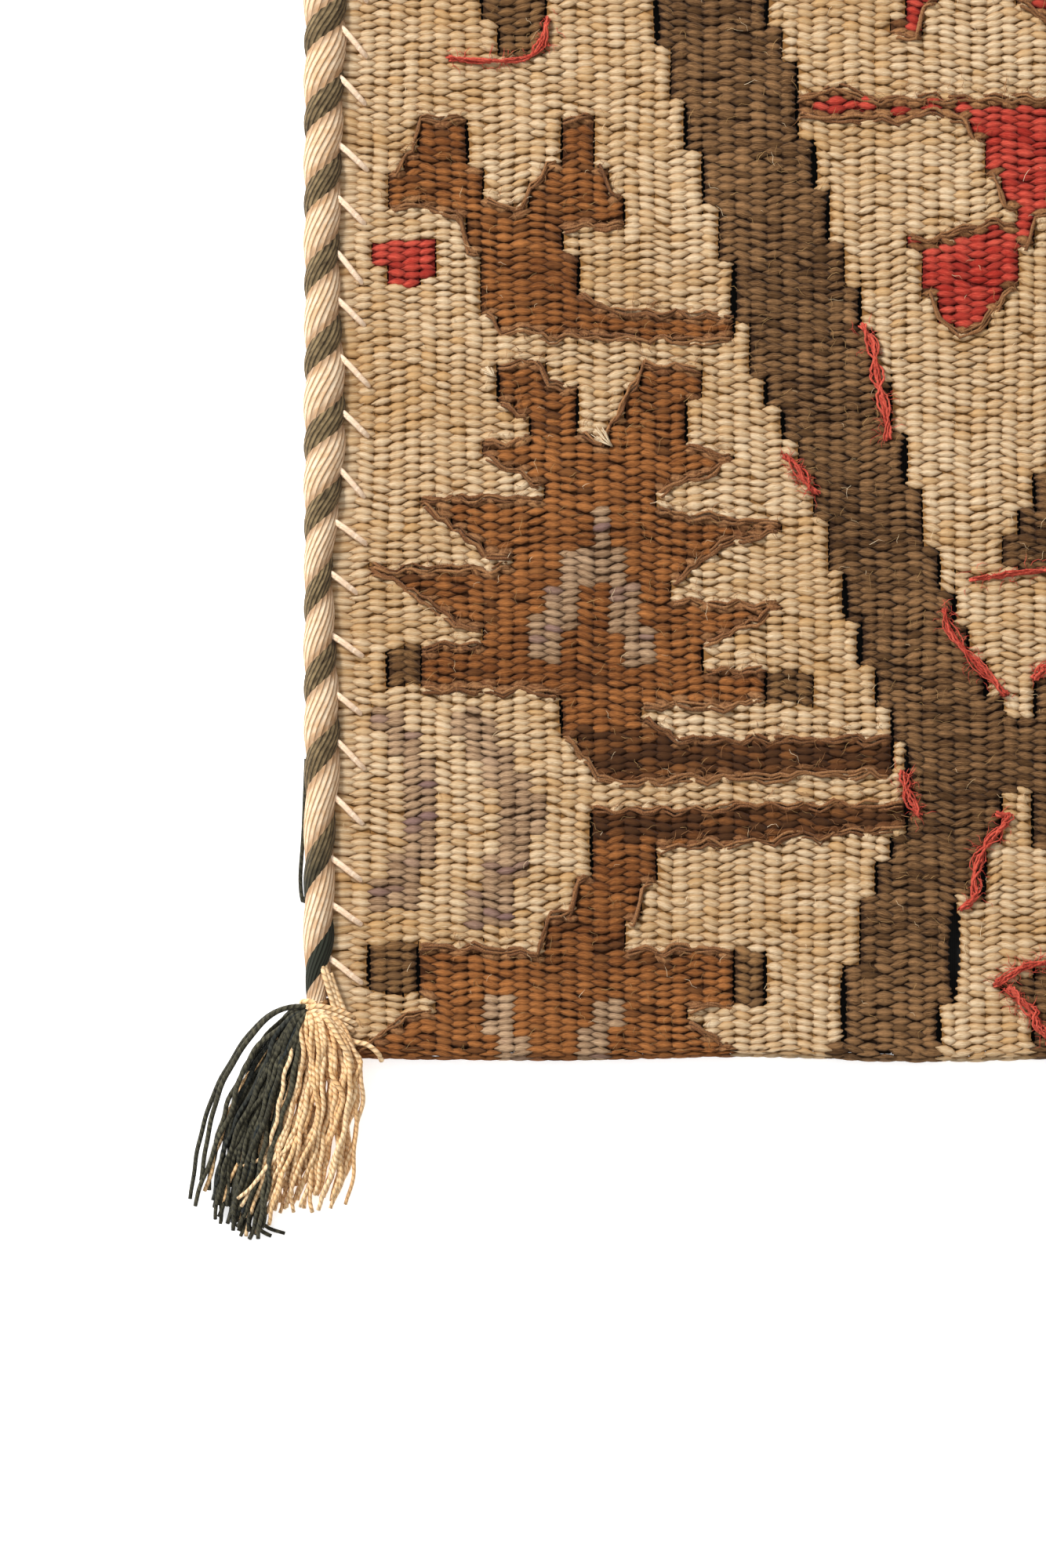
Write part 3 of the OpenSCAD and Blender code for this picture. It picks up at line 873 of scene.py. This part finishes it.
def strand(outer, inner, t, depth, draw, loose):
    """One loose yarn of a tassel, at a place across the fan and a depth in the pile."""
    s = np.linspace(0, 1, len(outer))
    t = np.clip(t + loose * draw.normal(0, 0.16) * s, 0, 1)[:, None]
    spread = np.array(outer) * (1 - t) + np.array(inner) * t
    spread = spread[0] + (spread - spread[0]) * draw.uniform(0.9, 1.035)
    wander = draw.normal(0, 0.5, 2) * loose
    wave = draw.uniform(0.2, 1.2) * loose * np.sin(s * draw.uniform(4, 14) + draw.uniform(0, 6))
    spread[:, 0] += wander[0] * s + wave * np.minimum(1, 2.5 * s)
    spread[:, 1] += wander[1] * s**2
    height = (3.0 + 2.2 * depth) * (1 - s) ** 0.8 + 2.3 * depth * np.sin(math.pi * s**0.7)
    height = height + 0.4 + 2.2 * depth * s
    height += 0.3 * loose * np.sin(s * draw.uniform(6, 12) + draw.uniform(0, 6))
    path = smooth_path(np.column_stack([spread, np.maximum(height, 0.62)]), STRAND_POINTS)
    s = np.linspace(0, 1, STRAND_POINTS)
    for axis in (0, 2):
        crimp = np.sin(s * draw.uniform(24, 40) + draw.uniform(0, 6)) * np.minimum(1, 4 * s)
        path[:, axis] += 0.2 * min(loose, 1.0) * crimp
    path[:, 2] = np.maximum(path[:, 2], 0.6)
    return path


for end, end_name in ((-1, "front"), (1, "back")):
    for side, side_name in SIDES:
        draw = np.random.default_rng(50 + end * 2 + side)
        body = f"{end_name}_{side_name}_tassel"
        place = np.array([side * (knot_x - 0.2), end * knot_y, 0])
        flip = np.array([-side, -end, 1.0])
        for kind, outer, inner in (("dark", DARK_OUTER, DARK_INNER), ("cream", CREAM_OUTER, CREAM_INNER)):
            routes = []
            for n in range(STRANDS):
                t = draw.uniform(0.18 if kind == "dark" else 0, 1.0)
                loose = 1.0 if kind == "dark" else 1.5
                # The first dark ones lie straighter, along the outer edge of the fan
                if kind == "dark" and n < STRAIGHT_STRANDS:
                    t = 0.03 * n
                    loose = 0.3
                routes.append(strand(outer, inner, t, draw.uniform(0, 1), draw, loose))
            if kind == "cream":
                # A few cream yarns stray among the dark ones
                for _ in range(STRAYED_STRANDS):
                    t = draw.uniform(0.5, 1)
                    depth = draw.uniform(0.0, 0.55)
                    routes.append(strand(DARK_OUTER, DARK_INNER, t, depth, draw, 1.2))
                routes += [smooth_path(route, 30) for route in CREAM_OVER]
            else:
                routes += [smooth_path(route, 16) for route in DARK_CURLS]
            parts = []
            for route in routes:
                tone = draw.uniform(0.2, 0.85)
                stray = draw.uniform(0, 1)
                dip = draw.uniform(0, 0.2)
                radius = draw.uniform(0.4, 0.52)
                look = {"tone": tone, "stray": stray, "dip": dip, "taper": 0.2}
                parts.append(tube(route * flip + place, radius, 6, twist=2.6 * side * end, **look))
            piece = new_piece(f"{body}_{kind}_strands", parts, strand_material[kind])
            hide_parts(f"{body.replace('_tassel', '')}_{kind}_skirt")
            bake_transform(piece)
        # The knot: turns of cream yarn round the end of the cord, and the yarns that bind it down
        parts = []
        for turn in range(3):
            angle = np.linspace(0, 2 * math.pi, 25)
            across, level = 2.3 * np.cos(angle), 3.1 + 2.3 * np.sin(angle)
            path = np.column_stack([across, 1.6 - turn * 0.95 + 0.25 * np.sin(angle), level])
            parts.append(tube(path * flip + place, 0.55, tone=draw.uniform(0.4, 0.8)))
        for route in (
            [(-1.2, 0.3, 5.2), (0.6, 1.0, 6.1), (3.4, 0.5, 5.5), (7.0, -0.9, 3.9), (7.6, -1.2, 2.6)],
            [(-0.9, -0.5, 5.0), (0.6, 0.1, 6.1), (3.4, -0.5, 5.3), (7.4, -2.2, 3.9), (8.0, -2.6, 2.6)],
            [(-0.2, -1.1, 5.0), (1.6, -0.7, 5.8), (4.2, -1.7, 4.9), (7.0, -3.4, 3.9), (7.5, -3.9, 2.6)],
            [(1.2, 10.0, 5.2), (2.2, 6.6, 5.9), (3.2, 3.2, 5.4), (4.2, -0.4, 4.7)],
            [(2.0, 9.0, 5.0), (3.0, 6.0, 5.4), (4.1, 2.8, 4.8), (5.2, -0.6, 4.3)],
            [(3.2, 7.2, 4.6), (4.2, 4.2, 4.7), (5.2, 1.6, 4.4), (6.2, -0.8, 4.0)],
            [(4.4, -4.4, 4.5), (7.6, -5.8, 4.4), (10.3, -6.5, 4.2), (12.3, -8.2, 3.6), (12.9, -9.6, 2.0)],
        ):
            parts.append(tube(smooth_path(route, 14) * flip + place, 0.5, tone=draw.uniform(0.45, 0.9)))
        piece = new_piece(f"{end_name}_{side_name}_knot_binding", parts, strand_material["cream"])
        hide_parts(f"{end_name}_{side_name}_knot")
        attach(piece, f"{end_name}_drop")

# --------------------------------------------
# Outline yarns. A fuzzy brown yarn is wrapped in along the edges of the rust and red figures where
# they meet the cream ground, and shows as a soft dark line across the ribs.

# How thick a hair is at each of its points, as a share of its root
HAIR_TAPER = np.array([1, 0.92, 0.75, 0.25])
HAIR_POINTS = len(HAIR_TAPER)
HAIR_SIDES = 3


def hairs(count, places, span, thick, seed):
    """Fine bent hairs from the given (x, y) places, as three-sided threads."""
    draw = np.random.default_rng(seed)
    which = draw.integers(0, len(places), count)
    start = places[which] + draw.normal(0, 0.8, (count, 2))
    heading = draw.uniform(0, 2 * math.pi, count)
    bend_rate = draw.normal(0, 0.9, count)
    length = span * draw.uniform(0.35, 1.6, count)
    rise = draw.uniform(0.15, 0.9, count)
    s = np.linspace(0, 1, HAIR_POINTS)[None]
    angle = heading[:, None] + bend_rate[:, None] * s + 0.5 * np.sin(s * 7 + heading[:, None])
    step = length[:, None] / (HAIR_POINTS - 1)
    root = np.zeros((count, 1))
    x = start[:, :1] + np.concatenate([root, np.cumsum(np.cos(angle[:, :-1]) * step, 1)], 1)
    y = start[:, 1:] + np.concatenate([root, np.cumsum(np.sin(angle[:, :-1]) * step, 1)], 1)
    z = crest - 0.5 + 0.6 * s + rise[:, None] * np.sin(math.pi * s**0.8)
    x = np.clip(x, -half_w + 0.5, half_w - 0.5)
    y = np.clip(y, -half_l + 2, half_l - 2)
    path = lay(np.stack([x, y, z], -1)) / MM
    around = (np.arange(HAIR_SIDES) * 2 * math.pi / HAIR_SIDES)[None, None, :, None]
    normal = np.stack([-np.sin(angle), np.cos(angle), 0 * angle], -1)[:, :, None]
    size = thick * HAIR_TAPER[None, :, None, None]
    outward = np.cos(around) * normal + np.sin(around) * np.array([0, 0, 1.0])
    ring = path[:, :, None] + size * outward
    n = HAIR_POINTS * HAIR_SIDES
    base = (np.arange(count) * n)[:, None, None]
    base = base + (np.arange(HAIR_POINTS - 1) * HAIR_SIDES)[None, :, None]
    k = np.arange(HAIR_SIDES)[None, None]
    after = (k + 1) % HAIR_SIDES
    beyond = base + HAIR_SIDES
    faces = np.stack([base + k, base + after, beyond + after, beyond + k], -1).reshape(-1, 4)
    tone = draw.uniform(0.2, 0.9, count)[:, None, None] + 0 * ring[..., 0]
    tint = np.stack([tone, 0 * tone, 0.2 + 0 * tone, 1 + 0 * tone], -1).reshape(-1, 4)
    return ring.reshape(-1, 3) * MM, faces, np.zeros((count * n, 2)), tint


outline_parts = {panel: [] for panel in PANELS}
for chain in chains:
    for panel in PANELS:
        part = [(i, j) for i, j in chain if PANELS[panel_of_row[i, j]] == panel]
        if len(part) < 2:
            continue
        line = []
        for i, j in part:
            y = (grain_y[i, j - 1] + grain_y[i, j]) / 2 + 0.3 * ripple(rib_x[i] * 2.3, grain_y[i, j], 17, 12)
            line.append((rib_x[i] - 0.8, y, crest - 0.25))
            line.append((rib_x[i] + 0.1, y, crest + 0.25))
        # Both ends dive into the weave
        first = (line[0][0] - 0.5, line[0][1], crest - 1.2)
        last = (line[-1][0] + 1.2, line[-1][1], crest - 1.2)
        path = smooth_path([first] + line + [last], 2 * len(part) + 3)
        path[:, 1] += rng.normal(0, 0.12, len(path))
        path = lay(path) / MM
        for lane in (-0.5, -0.1, 0.35):
            wound = np.linspace(0, len(part) * 1.3, len(path)) + lane * 5
            lower = -0.22 + 0.32 * np.sin(wound * 2.1 + lane * 3)
            offset = np.stack([0 * wound, lane + 0.25 * np.cos(wound), lower], -1)
            offset += rng.normal(0, 0.13, offset.shape)
            tone = rng.uniform(0.15, 0.8)
            stray = rng.uniform(0, 1)
            look = {"tone": tone, "stray": stray, "dip": rng.uniform(0.1, 0.5)}
            outline_parts[panel].append(tube(path + offset, rng.uniform(0.2, 0.38), 4, **look))
        spots = np.array([(rib_x[i], grain_y[i, j]) for i, j in part])
        outline_parts[panel].append(hairs(3 * len(part), spots, 2.3, 0.065, len(outline_parts[panel])))
for panel in PANELS:
    piece = new_piece(f"{panel}_outline_yarns", outline_parts[panel], wool["outline"])
    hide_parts(f"{panel}_contour_yarns")
    hang(piece, panel)

# --------------------------------------------
# Loose fibres. Hairs of the hand-spun wool stand off the face everywhere, darker over the brown
# and rust yarns. A few yarns also stand proud: red ones over the flower, a dark one by the cord.

FIBRE_MARGIN = 5
pale_fibre = yarn_material("pale_fibres", "#9a7748", "#c9a877", "#f2dcba", "#c9a877")
brown_fibre = yarn_material("brown_fibres", "#2a1c10", "#5a3f22", "#bb945f", "#3a2817")
for p, panel in enumerate(PANELS):
    inside = panel_of_row[:, extra:-extra] == p
    if panel != "middle":
        inside &= np.abs(grain_y[:, extra:-extra]) > fold_y - bend + FIBRE_MARGIN
    else:
        inside &= np.abs(grain_y[:, extra:-extra]) < fold_y - bend - FIBRE_MARGIN
    pale_yarn = np.isin(colour[:, extra:-extra], (CREAM, COLOURS.index("lilac"), RED))
    light = pale_yarn & inside
    deep = ~pale_yarn & inside
    xs = np.repeat(rib_x[:, None], ROWS, 1)
    ys = grain_y[:, extra:-extra]
    light_places = np.stack([xs[light], ys[light]], -1)
    deep_places = np.stack([xs[deep], ys[deep]], -1)
    over_light = hairs(len(light_places) // 22, light_places, 2.0, 0.055, 100 + p)
    over_deep = hairs(len(deep_places) // 24, deep_places, 2.4, 0.05, 110 + p)
    brown_ones = hairs(len(deep_places) // 5, deep_places, 2.5, 0.06, 120 + p)
    lots = {
        "pale": (pale_fibre, "cream_wool", [over_light, over_deep]),
        "brown": (brown_fibre, "brown_wool", [brown_ones]),
    }
    for lot_name, (material, slot_name, parts) in lots.items():
        piece = new_piece(f"{panel}_{lot_name}_fibres", parts, material)
        hang(piece, panel)


def on_face(u, v, up):
    """A place given in ribs from the left edge and rows from the front end."""
    return (-half_w + u * rib, -half_l + v * row, crest + up)


RED_LOOPS = [
    [(33.2, 93.5), (34.2, 88), (34.5, 85), (34.7, 79.5)],
    [(28.2, 76.5), (30, 72.5)],
    [(38.5, 57), (39.7, 52), (42, 46.5)],
    [(40.5, 61.3), (45, 62.2), (50, 62)],
    [(41.8, 31), (42.5, 30.5), (40.7, 26.5), (40.5, 21), (39.5, 19)],
    [(44.1, 48.6), (45.2, 50.2), (46, 49.8)],
    [(41.8, 9.5), (43.2, 11.5), (44.9, 12.3)],
    [(42.5, 8.8), (43.6, 6), (44.9, 3)],
    [(7.2, 127.5), (10.2, 127), (12.7, 129), (13.2, 132)],
    [(35.7, 36), (36.8, 31)],
]
parts = []
for loop in RED_LOOPS:
    route = [on_face(*loop[0], -0.9)] + [on_face(u, v, 0.35) for u, v in loop] + [on_face(*loop[-1], -0.9)]
    meander = rng.uniform(0, 6)
    for lane in (-1.2, -0.7, -0.4, -0.1, 0.2, 0.45, 0.8, 1.3):
        path = lay(smooth_path(route, 10 + 9 * len(loop))) / MM
        way = np.linspace(0, 1, len(path))
        wound = way * rng.uniform(2.0, 5.0) * len(loop) + rng.uniform(0, 6)
        drift = lane * np.sin(0.3 + 2.5 * way) * np.cos(3.2 * way * len(loop) + meander)
        drift += 0.85 * np.sin(2.1 * way * len(loop) + meander) * np.sin(math.pi * way)
        curl = rng.uniform(0.15, 0.45)
        path += np.stack([drift + curl * np.cos(wound), curl * np.sin(wound), 0.3 * np.sin(wound)], -1)
        path += rng.normal(0, 0.09, path.shape)
        parts.append(tube(path, rng.uniform(0.1, 0.26), 6, tone=rng.uniform(0.2, 0.9)))
    near = smooth_path(loop, 16)
    near = np.stack([-half_w + near[:, 0] * rib, -half_l + near[:, 1] * row], -1)
    parts.append(hairs(60, near, 2.2, 0.08, 200 + len(parts)))
loop_red = yarn_material("red_loop_wool", "#5c0f0a", "#a02e20", "#d9604b", "#b8402f", twist=(5, 1.5))
piece = new_piece("front_red_loops", parts, loop_red)
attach(piece, "front_drop")

# Two frayed places, where a few ends of pale yarn fan out over the face, as (rib, row, length)
parts = []
for u, v, spread in ((17.2, 77.6, 4.6), (9.9, 86.2, 2.8)):
    for _ in range(16):
        angle = rng.uniform(2.0, 2.9)
        tip = np.array([math.cos(angle), math.sin(angle)]) * spread * rng.uniform(0.5, 1.1)
        x, y, z = on_face(u, v, 0.1)
        bow = rng.uniform(0.2, 0.8)
        half_way = (x + 0.4 * tip[0], y + 0.3 * tip[1], z + bow)
        route = [(x, y, z - 0.9), half_way, (x + tip[0], y + tip[1], z + 0.1)]
        parts.append(tube(lay(smooth_path(route, 9)) / MM, rng.uniform(0.07, 0.14), 5, tone=0.9, dip=0.0))
piece = new_piece("front_frayed_tufts", parts, pale_fibre)
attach(piece, "front_drop")

snag = [(-3.0, 57.3, 3.2), (-3.6, 43.5, 2.2), (-4.2, 34.5, 1.6), (-3.7, 30, 2.2), (-3.0, 31.2, 3.0)]
route = [(-half_w - 3.6 + x, -half_l + y, z) for x, y, z in snag]
snagged = tube(smooth_path(route, 30), 0.42, 7, tone=0.3)
piece = new_piece("front_left_snag", [snagged], strand_material["dark"])
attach(piece, "front_drop")

# --------------------------------------------
# Lining. A plain black cotton cloth backs the whole runner and shows only through the slits and
# from underneath.

lining_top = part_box("middle_lining")[1].z
lining_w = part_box("middle_lining")[1].x
lining_black = bpy.data.materials.new("black_lining")
lining_black.use_nodes = True
tree = lining_black.node_tree
shader = tree.nodes["Principled BSDF"]
set_inputs(shader, {"Roughness": 0.95})
coords = tree.nodes.new("ShaderNodeTexCoord")
threads = tree.nodes.new("ShaderNodeTexWave")
set_inputs(threads, {"Scale": 900, "Distortion": 0.6})
tree.links.new(coords.outputs["Object"], threads.inputs["Vector"])
ramp = tree.nodes.new("ShaderNodeMix")
ramp.data_type = "RGBA"
ramp.inputs["A"].default_value = (0.004, 0.004, 0.0035, 1)
ramp.inputs["B"].default_value = (0.012, 0.011, 0.010, 1)
tree.links.new(threads.outputs["Fac"], ramp.inputs["Factor"])
tree.links.new(ramp.outputs["Result"], shader.inputs["Base Color"])
LINING_STEP = 2.5
LINING_ACROSS = 24
LINING_THICKNESS = 0.0005
for panel in PANELS:
    y0, y1 = {
        "front": (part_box("front_lining")[0].y, (-fold_y + bend) * MM),
        "middle": ((-fold_y + bend) * MM, (fold_y - bend) * MM),
        "back": ((fold_y - bend) * MM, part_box("back_lining")[1].y),
    }[panel]
    along = int((y1 - y0) / (LINING_STEP * MM))
    bpy.ops.mesh.primitive_grid_add(
        x_subdivisions=LINING_ACROSS, y_subdivisions=along, size=2, location=(0, 0, 0)
    )
    piece = bpy.context.object
    piece.name = f"{panel}_lining_cloth"
    spots = np.array([v.co for v in piece.data.vertices])
    x, y = spots[:, 0] * lining_w, y0 + (spots[:, 1] + 1) / 2 * (y1 - y0)
    laid_x = lay(np.stack([x, y, 0 * x], -1) / MM)[:, 0]
    z = lining_top * 0.55 + 0.00012 * np.sin(x * 400) * np.sin(y * 330)
    piece.data.vertices.foreach_set("co", np.stack([laid_x, y, z], -1).astype(np.float32).ravel())
    thicken = piece.modifiers.new("cloth", "SOLIDIFY")
    thicken.thickness = LINING_THICKNESS
    thicken.offset = 0
    bpy.ops.object.modifier_apply(modifier="cloth")
    bpy.ops.object.shade_smooth()
    piece.data.materials.append(lining_black)
    piece.select_set(False)
    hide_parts(f"{panel}_lining")
    hang(piece, panel)
    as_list(weave_pieces[panel])

low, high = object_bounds()
{"cad": [list(cad_low), list(cad_high)], "visual": [list(low), list(high)]}
